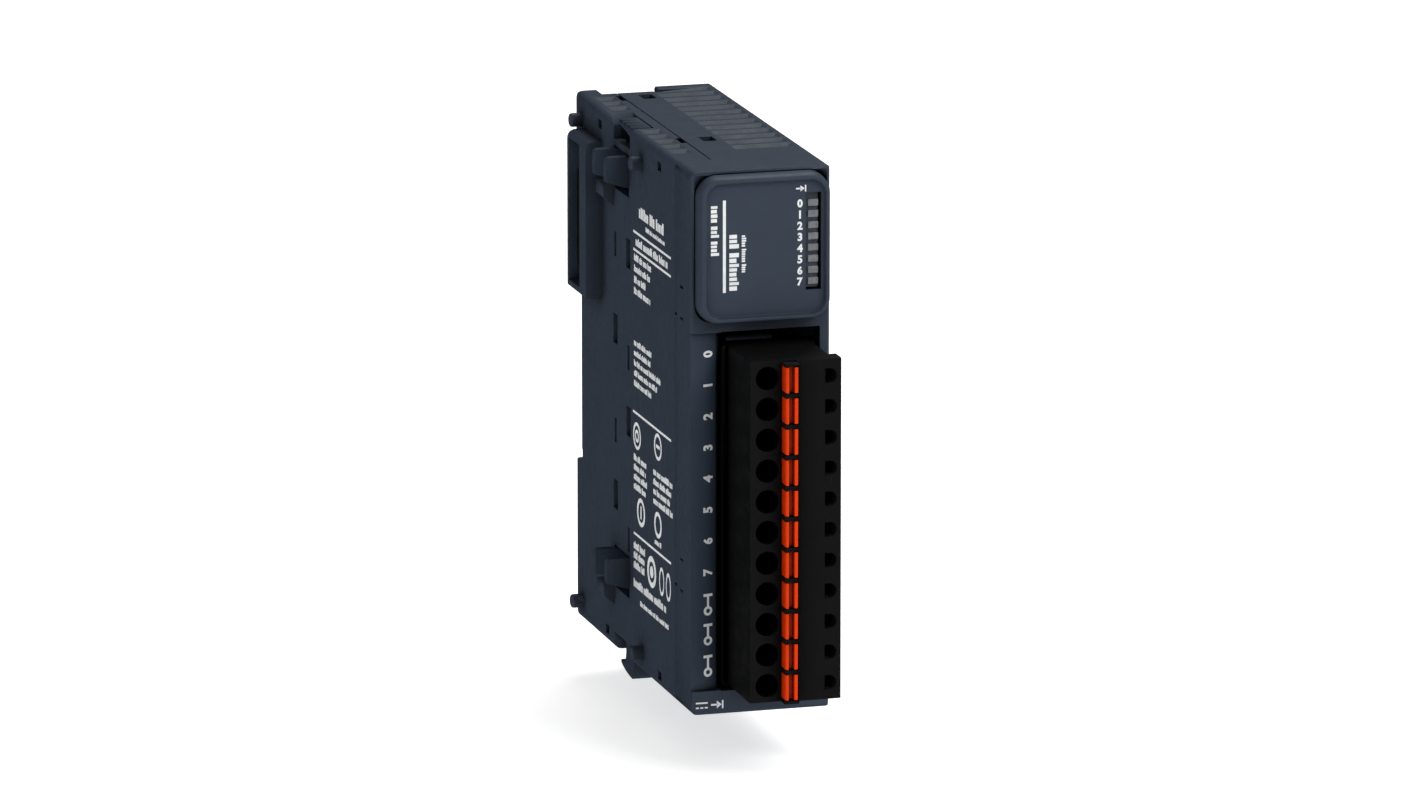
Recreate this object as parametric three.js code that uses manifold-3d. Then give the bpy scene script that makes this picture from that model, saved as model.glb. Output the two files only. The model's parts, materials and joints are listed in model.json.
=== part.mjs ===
// Narrow digital-input module for a 35 mm mounting rail: a two-part housing, a pull-off spring terminal
// plug with push levers, a side lock that hooks into the neighbouring module, and a sprung rail clip.
//
// Everything is drawn in housing coordinates, in millimetres: x from the left side, y from the front
// face towards the rail, z from the bottom. The outer group moves that to the part's own frame, whose
// origin is the middle of the face that rests on the rail.

import * as THREE from "three";
import { mergeVertices } from "three/addons/utils/BufferGeometryUtils.js";
import { ConvexGeometry } from "three/addons/geometries/ConvexGeometry.js";
import Module from "manifold-3d";

const wasm = await Module();
wasm.setup();

// ---------------------------------------------------------------- driving dimensions

const WIDTH = 23.3;
const DEPTH = 70;
const HEIGHT = 90;
const WALL = 1.5;
const GAP = 0.3; // clearance between separate pieces

// Joint between the two shells: the left cover ends at SEAM_X and starts behind the front block.
const SEAM_X = 6.0;
const SEAM_GAP = 0.2;
const FRONT_BLOCK_DEPTH = 9.6;
const TIGHT_SEAM = 0.05;

// Rail seat at the back
const RAIL_RECESS = 3.5;
const RAIL_SLOT_HALF = 17.7;
const RAIL_LIP_HALF = 15.7;
const RAIL_FLANGE = 1.3;
const MID_Z = HEIGHT / 2;
const SEAT_Y = DEPTH - RAIL_RECESS;

// Terminal plug
const POLES = 11;
const PITCH = 5.08;
const FIRST_POLE_Z = 58.3;
const HOLE_X = 9.2;
const HOLE_RADIUS = 1.95;
const FACE_Y = -12.2;
const TEST_FACE_Y = -12.8;
const LEVER_Y = -14.6;
const LEVER_TRAVEL = 1.5;
const LEVER_HEIGHT = 4.2;

// Front opening for the plug
const BAY = { x0: 5.0, x1: 21.6, z0: 3.9, z1: 63.6 };

// Indicators
const CHANNELS = 8;
const LED_PITCH = 1.84;
const FIRST_LED_Z = 84.35;
const LED_WINDOW = { x0: 18.65, x1: 21.25, z0: 70.1, z1: 86.1 };

// Front panel: its outline at the foot, the sunken field inside its bead, and how far they stand out
const PANEL = { x0: 0.65, x1: 22.85, z0: 65.3, z1: 89.45, radius: 3.4 };
const FIELD = { x0: 2.4, x1: 21.55, z0: 66.5, z1: 87.95, radius: 2.2 };
const PANEL_SEAT_Y = 1.9;
const PANEL_GAP = 0.15;
const BEAD_Y = -2.45;
const FIELD_Y = -1.8;

// Side lock
const LOCK_TRAVEL = 1.2;
const HOOK_REACH = 3.8;
const HOOK_TOPS = [85.2, 17.6];
const HOOK_FRONTS = [37.4, 44.5];
const HOOK_THICK = 1.5;
const HOOK_ROOT = 5.3;
const HOOK_TIP = 4.1;

// Rail clip
const CLIP = { x0: 8.3, x1: 15.0, below: 4.5 };

// Neighbour location features on the side walls
const PEGS = [
  { y: 29.5, z: 85.8 },
  { y: 66.2, z: 85.8 },
  { y: 29.5, z: 3.5 },
  { y: 66.2, z: 3.5 },
];
const PEG_RADIUS = 1.18;
const PEG_REACH = 2.1;
const GUSSETS = [78.9, 11.3];
const BUS_FRAME = { y0: 53.4, y1: 64.8, z0: 58.1, z1: 84.6, reach: 2.9 };

// ---------------------------------------------------------------- solids from three.js geometries

function solid(geometry) {
  const bare = geometry.index ? geometry.toNonIndexed() : geometry.clone();
  const points = new THREE.BufferGeometry().setAttribute("position", bare.getAttribute("position"));
  const merged = mergeVertices(points, 1e-4);
  const vertProperties = new Float32Array(merged.attributes.position.array);
  const triVerts = new Uint32Array(merged.index.array);
  return new wasm.Manifold(new wasm.Mesh({ numProp: 3, vertProperties, triVerts }));
}

function box(x0, x1, y0, y1, z0, z1) {
  const geometry = new THREE.BoxGeometry(x1 - x0, y1 - y0, z1 - z0);
  return solid(geometry.translate((x0 + x1) / 2, (y0 + y1) / 2, (z0 + z1) / 2));
}

// A prism along one axis. The outline's two coordinates are the other two axes, in x, y, z order.
const PRISM_AXES = {
  x: [[0, 1, 0], [0, 0, 1], [1, 0, 0]],
  y: [[0, 0, 1], [1, 0, 0], [0, 1, 0]],
  z: [[1, 0, 0], [0, 1, 0], [0, 0, 1]],
};

function prismShape(axis, shape, from, to, options = {}) {
  const settings = { depth: to - from, bevelEnabled: false, curveSegments: 6, ...options };
  const geometry = new THREE.ExtrudeGeometry(shape, settings);
  const axes = PRISM_AXES[axis].map((v) => new THREE.Vector3(...v));
  geometry.translate(0, 0, from).applyMatrix4(new THREE.Matrix4().makeBasis(...axes));
  return solid(geometry);
}

function prism(axis, outline, from, to) {
  const flipped = axis === "y";
  const points = outline.map(([a, b]) => new THREE.Vector2(flipped ? b : a, flipped ? a : b));
  return prismShape(axis, new THREE.Shape(points), from, to);
}

// Rounded rectangle in x and z, as a shape for a prism along y, which takes (z, x). Each corner may
// have its own radius: left bottom, right bottom, right top, left top.
function roundedShape(x0, x1, z0, z1, radii) {
  const [leftBottom, rightBottom, rightTop, leftTop] = Array.isArray(radii) ? radii : Array(4).fill(radii);
  const shape = new THREE.Shape();
  shape.moveTo(z0 + leftBottom, x0);
  shape.lineTo(z1 - leftTop, x0);
  shape.quadraticCurveTo(z1, x0, z1, x0 + leftTop);
  shape.lineTo(z1, x1 - rightTop);
  shape.quadraticCurveTo(z1, x1, z1 - rightTop, x1);
  shape.lineTo(z0 + rightBottom, x1);
  shape.quadraticCurveTo(z0, x1, z0, x1 - rightBottom);
  shape.lineTo(z0, x0 + leftBottom);
  shape.quadraticCurveTo(z0, x0, z0 + leftBottom, x0);
  return shape;
}

function roundedBlock(x0, x1, z0, z1, radii, y0, y1, options) {
  return prismShape("y", roundedShape(x0, x1, z0, z1, radii), y0, y1, options);
}

// A rounded block on an outline { x0, x1, z0, z1, radius } that is drawn in by inset on every side.
function insetBlock(outline, inset, y0, y1, curveSegments) {
  const { x0, x1, z0, z1, radius } = outline;
  const sides = [x0 + inset, x1 - inset, z0 + inset, z1 - inset];
  return roundedBlock(...sides, radius - inset, y0, y1, { curveSegments });
}

function cylinder(axis, a, b, radius, from, to, segments = 20) {
  const geometry = new THREE.CylinderGeometry(radius, radius, to - from, segments);
  const middle = (from + to) / 2;
  if (axis === "x") geometry.rotateZ(Math.PI / 2).translate(middle, a, b);
  if (axis === "y") geometry.translate(a, middle, b);
  if (axis === "z") geometry.rotateX(Math.PI / 2).translate(a, b, middle);
  return solid(geometry);
}

function convex(points) {
  return solid(new ConvexGeometry(points.map((p) => new THREE.Vector3(...p))));
}

function join(...pieces) {
  return pieces.flat().reduce((sum, piece) => sum.add(piece));
}

function cut(body, ...pieces) {
  return pieces.flat().reduce((rest, piece) => rest.subtract(piece), body);
}

const range = (count) => Array.from({ length: count }, (_, i) => i);

const poleZ = (i) => FIRST_POLE_Z - i * PITCH;

const ledZ = (i) => FIRST_LED_Z - i * LED_PITCH;

// ---------------------------------------------------------------- nodes

function finish(colour, roughness, metalness = 0) {
  return new THREE.MeshStandardMaterial({ color: colour, roughness, metalness });
}

const HOUSING = () => finish(0x3a424e, 0.6);
const LOCK_PLASTIC = () => finish(0x363e49, 0.6);
const BLACK_PLASTIC = () => finish(0x151617, 0.5);
const LEVER_ORANGE = () => finish(0xe0500f, 0.45);
const LENS_GREY = () => finish(0x777a7e, 0.4);
const BOARD_GREEN = () => finish(0x1f5a37, 0.6);
const CHIP_BLACK = () => finish(0x1c1c1e, 0.55);
const METAL = () => finish(0xc9c9c4, 0.3, 1);
const LED_BODY = () => finish(0xe6e4d2, 0.4);

const assembly = new THREE.Group();
assembly.position.set(-WIDTH / 2, -SEAT_Y, -MID_Z);

function add(name, body, material, group = assembly) {
  const { vertProperties, triVerts, numProp } = body.getMesh();
  const corners = new Float32Array(triVerts.length * 3);
  triVerts.forEach((vertex, i) => {
    corners.set(vertProperties.subarray(vertex * numProp, vertex * numProp + 3), i * 3);
  });
  const geometry = new THREE.BufferGeometry();
  geometry.setAttribute("position", new THREE.BufferAttribute(corners, 3));
  geometry.computeVertexNormals();
  const mesh = new THREE.Mesh(geometry, material);
  mesh.name = name;
  group.add(mesh);
  return mesh;
}

// ---------------------------------------------------------------- shared cutters

const LOUVRE_DEPTH = 0.55;
const LOUVRE_LENGTH = 3.0;
const LOUVRE_DRAFT = 0.4;

// A shallow ventilation-style louvre: its floor sinks from the front edge to a sloping back wall.
// side is 1 on the top face and -1 on the bottom face.
function louvre(x0, x1, yFront, side) {
  const surface = side > 0 ? HEIGHT : 0;
  const back = yFront + LOUVRE_LENGTH;
  const deepY = back - 0.45;
  const corners = [];
  for (const z of [surface, surface + side * 0.5]) {
    corners.push([x0, yFront, z], [x1, yFront, z], [x0, back, z], [x1, back, z]);
  }
  const deepZ = surface - side * LOUVRE_DEPTH;
  corners.push([x0 + LOUVRE_DRAFT, deepY, deepZ], [x1 - LOUVRE_DRAFT, deepY, deepZ]);
  return convex(corners);
}

// Rectangle with its corners cut off, as an outline.
function chamferedOutline(a0, a1, b0, b1, cut45) {
  return [
    [a0 + cut45, b0], [a1 - cut45, b0], [a1, b0 + cut45], [a1, b1 - cut45],
    [a1 - cut45, b1], [a0 + cut45, b1], [a0, b1 - cut45], [a0, b0 + cut45],
  ];
}

// The whole outside of the closed housing, with rounded long edges and chamfered ends.
function outerShell() {
  const edge = 0.5;
  return roundedBlock(0, WIDTH, 0, HEIGHT, [1.3, 0.6, 0.6, 1.3], 0, DEPTH)
    .intersect(prism("x", chamferedOutline(0, DEPTH, 0, HEIGHT, edge), -1, WIDTH + 1))
    .intersect(prism("z", chamferedOutline(0, WIDTH, 0, DEPTH, edge), -1, HEIGHT + 1));
}

// Where the rail lies: the seat, deeper reliefs beyond the lips, and the slot under the upper lip.
function railRecess() {
  const low = MID_Z - RAIL_SLOT_HALF;
  const high = MID_Z + RAIL_SLOT_HALF;
  const relief = 0.3;
  return join(
    box(-1, WIDTH + 1, SEAT_Y, DEPTH + 1, low, high),
    box(-1, WIDTH + 1, SEAT_Y - relief, SEAT_Y + 1, low, MID_Z - RAIL_LIP_HALF + relief),
    box(-1, WIDTH + 1, SEAT_Y - relief, SEAT_Y + 1, MID_Z + RAIL_LIP_HALF - relief, high),
  );
}

// The fixed hook behind the rail's upper edge.
function railLip(x0, x1) {
  const inner = SEAT_Y + RAIL_FLANGE;
  const low = MID_Z + RAIL_LIP_HALF;
  const high = MID_Z + RAIL_SLOT_HALF + 0.2;
  const leadIn = 0.7;
  const outer = DEPTH - 0.5;
  const outline = [[inner, low + leadIn], [inner + leadIn, low], [outer, low], [outer, high], [inner, high]];
  return prism("x", outline, x0, x1);
}

// Open step at the back of the top face, with two small steps along it.
function backStep() {
  return join(
    box(3.4, 12.4, DEPTH - 4.3, DEPTH + 1, 84, HEIGHT + 1),
    box(12.3, 13.6, DEPTH - 3.0, DEPTH + 1, 84, HEIGHT + 1),
  );
}

// ---------------------------------------------------------------- main housing

function labelStripCutter() {
  const hollow = new THREE.QuadraticBezierCurve(
    new THREE.Vector2(-0.1, 0.5),
    new THREE.Vector2(2.9, 0.6),
    new THREE.Vector2(5.1, 1.8),
  );
  const outline = hollow.getPoints(6).map((p) => [p.x, p.y]);
  return prism("z", [...outline, [5.1, -1], [-0.1, -1]], 4.0, 63.5);
}

// Narrow notches in the front block's left face, where the snaps of the two shells end.
const SNAP_NOTCHES = [
  { y0: 4.8, y1: 6.6, z: 70.1 },
  { y0: 4.8, y1: 6.6, z: 64.9 },
  { y0: 8.4, y1: FRONT_BLOCK_DEPTH + 1, z: 65.0 },
  { y0: 4.8, y1: 6.6, z: 24.8 },
  { y0: 4.8, y1: 6.6, z: 19.6 },
  { y0: 8.4, y1: FRONT_BLOCK_DEPTH + 1, z: 20.0 },
];

function snapNotches() {
  const depth = 0.6;
  const half = 0.22;
  return SNAP_NOTCHES.map(({ y0, y1, z }) => box(-1, depth, y0, y1, z - half, z + half));
}

function mainHousing() {
  const coverRoom = box(-1, SEAM_X + SEAM_GAP / 2, FRONT_BLOCK_DEPTH, DEPTH + 1, -1, HEIGHT + 1);
  let body = outerShell().subtract(coverRoom);

  const inside = join(
    box(WALL, WIDTH - WALL, 3.2, FRONT_BLOCK_DEPTH + 1, BAY.z1 + WALL, HEIGHT - WALL),
    box(WALL, BAY.x0 - WALL, 3.2, FRONT_BLOCK_DEPTH + 1, WALL, BAY.z1 + WALL + 0.1),
    box(WALL, WIDTH - WALL, FRONT_BLOCK_DEPTH - 0.4, 64.2, WALL, HEIGHT - WALL),
    box(14.6, WIDTH - WALL, 64, 65, WALL, HEIGHT - WALL),
    box(14.6, WIDTH - WALL, 64.5, DEPTH - WALL, MID_Z + RAIL_SLOT_HALF + WALL, HEIGHT - WALL),
    box(BAY.x0, BAY.x1, -1, FRONT_BLOCK_DEPTH, BAY.z0, BAY.z1),
  );
  body = cut(body, inside, labelStripCutter(), railRecess(), backStep());

  const latch = join(
    box(14.9, BAY.x1 + 0.5, 2.5, 8, 61.5, BAY.z1 + 0.5),
    box(6.5, 15, 6, 8, 61.5, BAY.z1 + 0.5),
    box(6.5, 14.2, 2.5, 6.1, 61.5, 62.4),
  );
  body = join(body, latch, railLip(SEAM_X + SEAM_GAP / 2, WIDTH));

  const panelRecess = insetBlock(PANEL, -PANEL_GAP, -1, PANEL_SEAT_Y, 8);
  const ledOpening = box(LED_WINDOW.x0, LED_WINDOW.x1, 1, 4, LED_WINDOW.z0, LED_WINDOW.z1);
  const topHoles = [25.6, 61.7].flatMap((y) => [
    box(8.95, 11.25, y - 1.75, y + 1.75, HEIGHT - 2, HEIGHT + 1),
    box(8.95, 11.25, y - 1.75, y + 1.75, -1, 2),
  ]);
  const louvres = range(13).flatMap((i) => [
    louvre(12.2, 22.2, 16.3 + i * 4.0, 1),
    louvre(12.2, 22.2, 16.3 + i * 4.0, -1),
  ]);
  body = cut(body, panelRecess, ledOpening, topHoles, louvres);
  return cut(body, neighbourOpenings(), clipChannel(), snapNotches());
}

// Opening for a pair of hooks: it leaves room below them for the lock's travel.
function hookOpening(top, x0, x1) {
  const clear = 0.3;
  const back = HOOK_FRONTS[1] + HOOK_THICK + clear;
  return box(x0, x1, HOOK_FRONTS[0] - clear, back, top - HOOK_ROOT - LOCK_TRAVEL - GAP, top + GAP);
}

// Openings in the right wall that take the next module's pegs, hooks, gussets and bus frame.
function neighbourOpenings() {
  const from = WIDTH - WALL - 0.5;
  const to = WIDTH + 1;
  const holes = PEGS.map(({ y, z }) => cylinder("x", y, z, PEG_RADIUS + 0.2, from, to, 16));
  const hookSlots = HOOK_TOPS.map((top) => hookOpening(top, from, to));
  const gussetSlots = GUSSETS.map((top) => box(from, to, 46.1, 51.3, top - 4.2, top + 0.2));
  const frame = BUS_FRAME;
  const frameSlot = box(from, to, frame.y0 - 0.4, frame.y1 + 0.4, frame.z0 - 0.4, frame.z1 + 0.4);
  return [...holes, ...hookSlots, ...gussetSlots, frameSlot];
}

function clipChannel() {
  const top = MID_Z - RAIL_SLOT_HALF + 0.1;
  return join(
    box(CLIP.x0 - GAP, CLIP.x1 + GAP, SEAT_Y + 0.2, DEPTH + 1, -1, top),
    box(CLIP.x0 - 1.1, CLIP.x1 + 1.1, SEAT_Y + 0.5, SEAT_Y + 2.0, -1, top),
  );
}

add("main_housing", mainHousing(), HOUSING());

// ---------------------------------------------------------------- left cover

const THUMB_NOTCH = { x1: 4.1, y0: 36.5, y1: 46.3, scoopEnd: 49.5, low: 86.6 };
const FOOT_NOTCH = { x1: 4.1, y0: 36.2, y1: 46.1, high: 2.9 };
const VENTS = [
  { y: 45.5, z: 69.0, wide: false },
  { y: 45.5, z: 54.7, wide: true },
  { y: 45.5, z: 37.5, wide: false },
  { y: 45.5, z: 26.6, wide: true },
  { y: 37.6, z: 69.0, wide: true },
  { y: 37.6, z: 51.5, wide: false },
  { y: 37.6, z: 40.7, wide: true },
  { y: 37.6, z: 20.7, wide: false },
];
const SNAP_WINDOWS = [
  { y: 54.9, z: 87.3 },
  { y: 18.9, z: 87.3 },
  { y: 50.7, z: 2.3 },
  { y: 18.9, z: 2.1 },
];

function peg({ y, z }) {
  const profile = new THREE.Path();
  const round = 0.5;
  profile.moveTo(0, -1);
  profile.lineTo(PEG_RADIUS, -1);
  profile.lineTo(PEG_RADIUS, PEG_REACH - round);
  profile.quadraticCurveTo(PEG_RADIUS, PEG_REACH, PEG_RADIUS - round, PEG_REACH);
  profile.lineTo(0, PEG_REACH);
  const geometry = new THREE.LatheGeometry(profile.getPoints(4), 16);
  return solid(geometry.rotateZ(Math.PI / 2).translate(0, y, z));
}

function gusset(top) {
  const outline = [[0.5, top], [-1.8, top], [-1.8, top - 2.1], [0.5, top - 4.1]];
  return prism("y", outline, 46.4, 51);
}

// The frame round the bus contacts: its outer top and bottom edges are rounded off.
function busFrame() {
  const { y0, y1, z0, z1, reach } = BUS_FRAME;
  const shape = roundedShape(-reach, 3, z0, z1, [0.5, 0.1, 0.1, 1.6]);
  return prismShape("y", shape, y0, y1);
}

function leftCover() {
  const edge = SEAM_X - SEAM_GAP / 2;
  const front = FRONT_BLOCK_DEPTH + TIGHT_SEAM;
  const zone = box(-1, edge, front, DEPTH + 1, -1, HEIGHT + 1);
  const inner = 1.4;
  const room = join(
    box(inner, edge + 1, front - 1, 64.2, WALL, HEIGHT - WALL),
    box(inner, edge + 1, 64, DEPTH - WALL, MID_Z + RAIL_SLOT_HALF + WALL, 82.5),
    box(inner, edge + 1, 64, DEPTH - WALL, WALL, MID_Z - RAIL_SLOT_HALF - WALL),
  );
  let body = cut(outerShell().intersect(zone), room, railRecess(), backStep());
  body = join(body, railLip(0.6, edge), busFrame(), PEGS.map(peg), GUSSETS.map(gusset));

  const windows = HOOK_TOPS.map((top) => hookOpening(top, -1, 2));
  const thumb = THUMB_NOTCH;
  const thumbNotch = join(
    box(-1, thumb.x1, thumb.y0, thumb.y1, thumb.low, HEIGHT + 1),
    prism("x", [[thumb.y1 - 0.1, HEIGHT - 1.2], [thumb.scoopEnd, HEIGHT], [thumb.scoopEnd, HEIGHT + 1],
      [thumb.y1 - 0.1, HEIGHT + 1]], -1, thumb.x1),
  );
  const foot = FOOT_NOTCH;
  const footNotch = box(-1, foot.x1, foot.y0, foot.y1, -1, foot.high);
  const vents = VENTS.map(({ y, z, wide }) => {
    const halfY = wide ? 1.3 : 0.6;
    const halfZ = wide ? 2.5 : 2.05;
    return box(-1, 2, y - halfY, y + halfY, z - halfZ, z + halfZ);
  });
  const snaps = SNAP_WINDOWS.map(({ y, z }) => box(-1, 2, y - 1.05, y + 1.05, z - 0.75, z + 0.75));
  const seamSlots = [25.5, 61.4].map((y) => box(5.05, edge + 1, y - 2.0, y + 2.0, HEIGHT - 2, HEIGHT + 1));
  const louvreYs = [15.6, 19.7, 23.8, 27.9, 32.0, 51.9, 56.0, 60.1];
  const louvres = louvreYs.flatMap((y) => [louvre(1.4, 4.7, y, 1), louvre(1.4, 4.7, y, -1)]);
  const frame = BUS_FRAME;
  const busCavity = box(-4, 3.5, frame.y0 + 3.9, frame.y1 - 1.0, frame.z0 + 1.2, frame.z1 - 1.2);
  return cut(body, windows, thumbNotch, footNotch, vents, snaps, seamSlots, louvres, busCavity);
}

add("left_cover", leftCover(), HOUSING());

// ---------------------------------------------------------------- front panel and indicators

// A raised cap with a rounded outline: a bead runs round its edge, the field inside it lies lower, and
// it is hollow behind. Each pair below is how far the outline is drawn in, and the depth it has there.
function frontPanel() {
  const back = PANEL_SEAT_Y - GAP;
  const flank = [[0, -0.6], [0.12, -1.4], [0.25, -2.0], [0.45, -2.28], [0.7, BEAD_Y]];
  const slope = [[-0.45, BEAD_Y + 0.08], [-0.22, (BEAD_Y + FIELD_Y) / 2], [0, FIELD_Y]];
  const plates = flank.map(([inset, y]) => insetBlock(PANEL, inset, y, back, 8));
  const hollows = slope.map(([inset, y]) => insetBlock(FIELD, inset, BEAD_Y - 1, y, 8));
  const pocket = insetBlock(PANEL, 1.6, FIELD_Y + 1.2, back + 1, 4);
  const window = box(LED_WINDOW.x0, LED_WINDOW.x1, BEAD_Y - 1, back + 1, LED_WINDOW.z0, LED_WINDOW.z1);
  return cut(join(plates), hollows, pocket, window);
}

// The light guide: one grey bar with a raised pad in front of each indicator.
function lightGuide() {
  const x0 = LED_WINDOW.x0 + 0.1;
  const x1 = LED_WINDOW.x1 - 0.4;
  const barFront = FIELD_Y + 0.65;
  const padFront = FIELD_Y + 0.35;
  const bar = box(x0, x1, barFront, 4.4, LED_WINDOW.z0 + GAP, LED_WINDOW.z1 - 0.1);
  const pads = range(CHANNELS).map((i) => box(x0 + 0.4, x1, padFront, 0, ledZ(i) - 0.55, ledZ(i) + 0.55));
  return join(bar, pads);
}

add("front_panel", frontPanel(), HOUSING());
add("light_guide", lightGuide(), LENS_GREY());

// ---------------------------------------------------------------- electronics

const BOARD = { x0: 17.4, x1: 19.0 };
const BOARD_LEFT = BOARD.x0 - GAP;
const BOARD_RIGHT = BOARD.x1 + GAP;

function mainBoard() {
  const outline = [[16.2, 3], [63.5, 3], [63.5, 87], [5.2, 87], [5.2, 66.5], [16.2, 66.5]];
  return prism("x", outline, BOARD.x0, BOARD.x1);
}

function optocoupler(i) {
  const z = 9.5 + i * 6.4;
  const bodyPart = box(14.9, BOARD_LEFT - 0.2, 24, 28.4, z - 2.4, z + 2.4);
  const footZ = [z - 1.3, z + 1.3];
  const foot = (y, middle) => box(BOARD_LEFT - 0.9, BOARD_LEFT, y, y + 1.4, middle - 0.3, middle + 0.3);
  const feet = footZ.flatMap((middle) => [foot(22.7, middle), foot(28.3, middle)]);
  return join(bodyPart, feet);
}

function capacitor() {
  return join(
    cylinder("x", 35, 74, 3.15, 10.2, BOARD_LEFT - 0.6, 24),
    box(BOARD_LEFT - 0.7, BOARD_LEFT, 31.8, 38.2, 70.8, 77.2),
  );
}

function busController() {
  const legs = range(5).flatMap((i) => {
    const along = -3.2 + i * 1.6;
    const z = 35 + along;
    return [43, 53.9].map((y) => box(BOARD_LEFT - 0.9, BOARD_LEFT, y, y + 1.1, z - 0.3, z + 0.3));
  });
  return join(box(BOARD_LEFT - 1.6, BOARD_LEFT - 0.2, 44, 54, 30, 40), legs);
}

// Socket into which the terminal plug pushes: a tray with thin walls, lower at the front of its top wall.
const TRAY = { x0: 5.4, x1: 21.2, z0: 4.4, z1: 61.2, y0: 1.0, y1: 14.0 };

function terminalHeader() {
  const t = TRAY;
  const shellBody = roundedBlock(t.x0, t.x1, t.z0, t.z1, 0.9, t.y0, t.y1, { curveSegments: 4 });
  const roomy = box(t.x0 + 0.8, t.x1 - 0.8, t.y0 - 1, t.y1 - 1.5, t.z0 + 0.8, t.z1 - 1.0);
  const openTop = box(t.x0 + 0.8, t.x1 - 0.8, t.y0 - 1, t.y0 + 2.5, t.z1 - 1.5, t.z1 + 1);
  const pinHole = (z) => box(12.2, 13.8, t.y1 - 3, t.y1 + 1, z - 0.8, z + 0.8);
  const pinHoles = range(POLES).map((i) => pinHole(poleZ(i)));
  return cut(shellBody, roomy, openTop, pinHoles);
}

// All header contacts, joined by one thin strip behind the tray.
function headerPins() {
  const pins = range(POLES).map((i) => join(
    box(12.5, 13.5, 6.5, 15.8, poleZ(i) - 0.5, poleZ(i) + 0.5),
    box(12.5, BOARD_LEFT, 14.9, 15.8, poleZ(i) - 0.5, poleZ(i) + 0.5),
  ));
  const strip = box(12.7, 13.3, 15.0, 15.6, poleZ(POLES - 1), poleZ(0));
  return join(strip, pins);
}

// Bus contacts towards the previous module: an insulator with a blade that stands in the frame.
function busPlug() {
  const base = box(4.0, BOARD_LEFT, 55, 63, 60.6, 80.4);
  const blade = box(-2.2, 4.1, 59.7, 61.3, 62.3, 78.7);
  const shoulder = box(2.4, 4.1, 58.3, 62.7, 61.2, 79.8);
  return join(base, blade, shoulder);
}

// Bus contacts towards the next module: a nose with a slot for that module's blade.
function busSocket() {
  const nose = box(BOARD_RIGHT, WIDTH - 0.3, 57.7, 63.4, 59.8, 82.9);
  const slot = box(BOARD_RIGHT + 0.9, WIDTH + 1, 59.3, 61.7, 61.9, 79.1);
  return cut(nose, slot);
}

add("main_board", mainBoard(), BOARD_GREEN());
range(CHANNELS).forEach((i) => {
  const led = box(BOARD_RIGHT, BOARD_RIGHT + 1.2, 5.6, 7.2, ledZ(i) - 0.4, ledZ(i) + 0.4);
  add(`status_led_${i}`, led, LED_BODY());
  add(`optocoupler_${i}`, optocoupler(i), CHIP_BLACK());
});
add("bus_controller", busController(), CHIP_BLACK());
add("filter_capacitor", capacitor(), METAL());
add("terminal_header", terminalHeader(), BLACK_PLASTIC());
add("header_pins", headerPins(), METAL());
add("bus_plug", busPlug(), BLACK_PLASTIC());
add("bus_socket", busSocket(), BLACK_PLASTIC());

// ---------------------------------------------------------------- side lock

function hook(top, yFront) {
  const round = 0.9;
  const shape = new THREE.Shape();
  const tip = -HOOK_REACH;
  shape.moveTo(top - HOOK_ROOT, 1.8);
  shape.lineTo(top - HOOK_ROOT, 0);
  shape.lineTo(top - HOOK_TIP, tip);
  shape.lineTo(top - round, tip);
  shape.quadraticCurveTo(top, tip, top, tip + round);
  shape.lineTo(top, 1.8);
  return prismShape("y", shape, yFront, yFront + HOOK_THICK);
}

function lockSlider() {
  const back = HOOK_FRONTS[1] + HOOK_THICK;
  const front = HOOK_FRONTS[0];
  const plate = join(
    box(1.7, 3.3, 39.6, 43.4, 1, 86),
    HOOK_TOPS.map((top) => box(1.7, 3.3, front, back, top - HOOK_ROOT, top)),
  );
  const hooks = HOOK_TOPS.flatMap((top) => HOOK_FRONTS.map((y) => hook(top, y)));

  // Thumb lip at the top: flat and ribbed above, tapering to the back below.
  const lip = [[37.0, 88.2], [38.6, 88.3], [41.2, 88.8], [45.4, 89.2], [45.4, 90], [37.0, 90]];
  const thumbLip = join(
    prism("x", lip, 0.6, 3.8),
    prism("x", [[37.0, 84], [41, 84], [41, 88.9], [37.0, 88.9]], 1.7, 3.8),
  );
  const ribGrooves = [39.0, 41.2, 43.4].map((y) => box(0, 3.0, y, y + 0.7, 89.6, 91));

  // Foot at the bottom: a stem that ends in a curved scoop.
  const foot = new THREE.Shape();
  foot.moveTo(36.8, 2.6);
  foot.lineTo(36.8, -2.3);
  foot.quadraticCurveTo(36.8, -3.1, 37.8, -3.1);
  foot.quadraticCurveTo(41.5, -2.9, 44.2, -2.0);
  foot.quadraticCurveTo(44.8, -1.6, 44.2, -1.3);
  foot.quadraticCurveTo(41.6, -1.9, 41.4, 0.6);
  foot.lineTo(41.4, 2.6);
  const scoop = prismShape("x", foot, 0.6, 3.8);
  const neck = box(1.7, 3.3, 37.4, 43.4, 1, 6);
  return cut(join(plate, hooks, thumbLip, scoop, neck), ribGrooves);
}

add("lock_slider", lockSlider(), LOCK_PLASTIC());

// ---------------------------------------------------------------- rail clip

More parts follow.
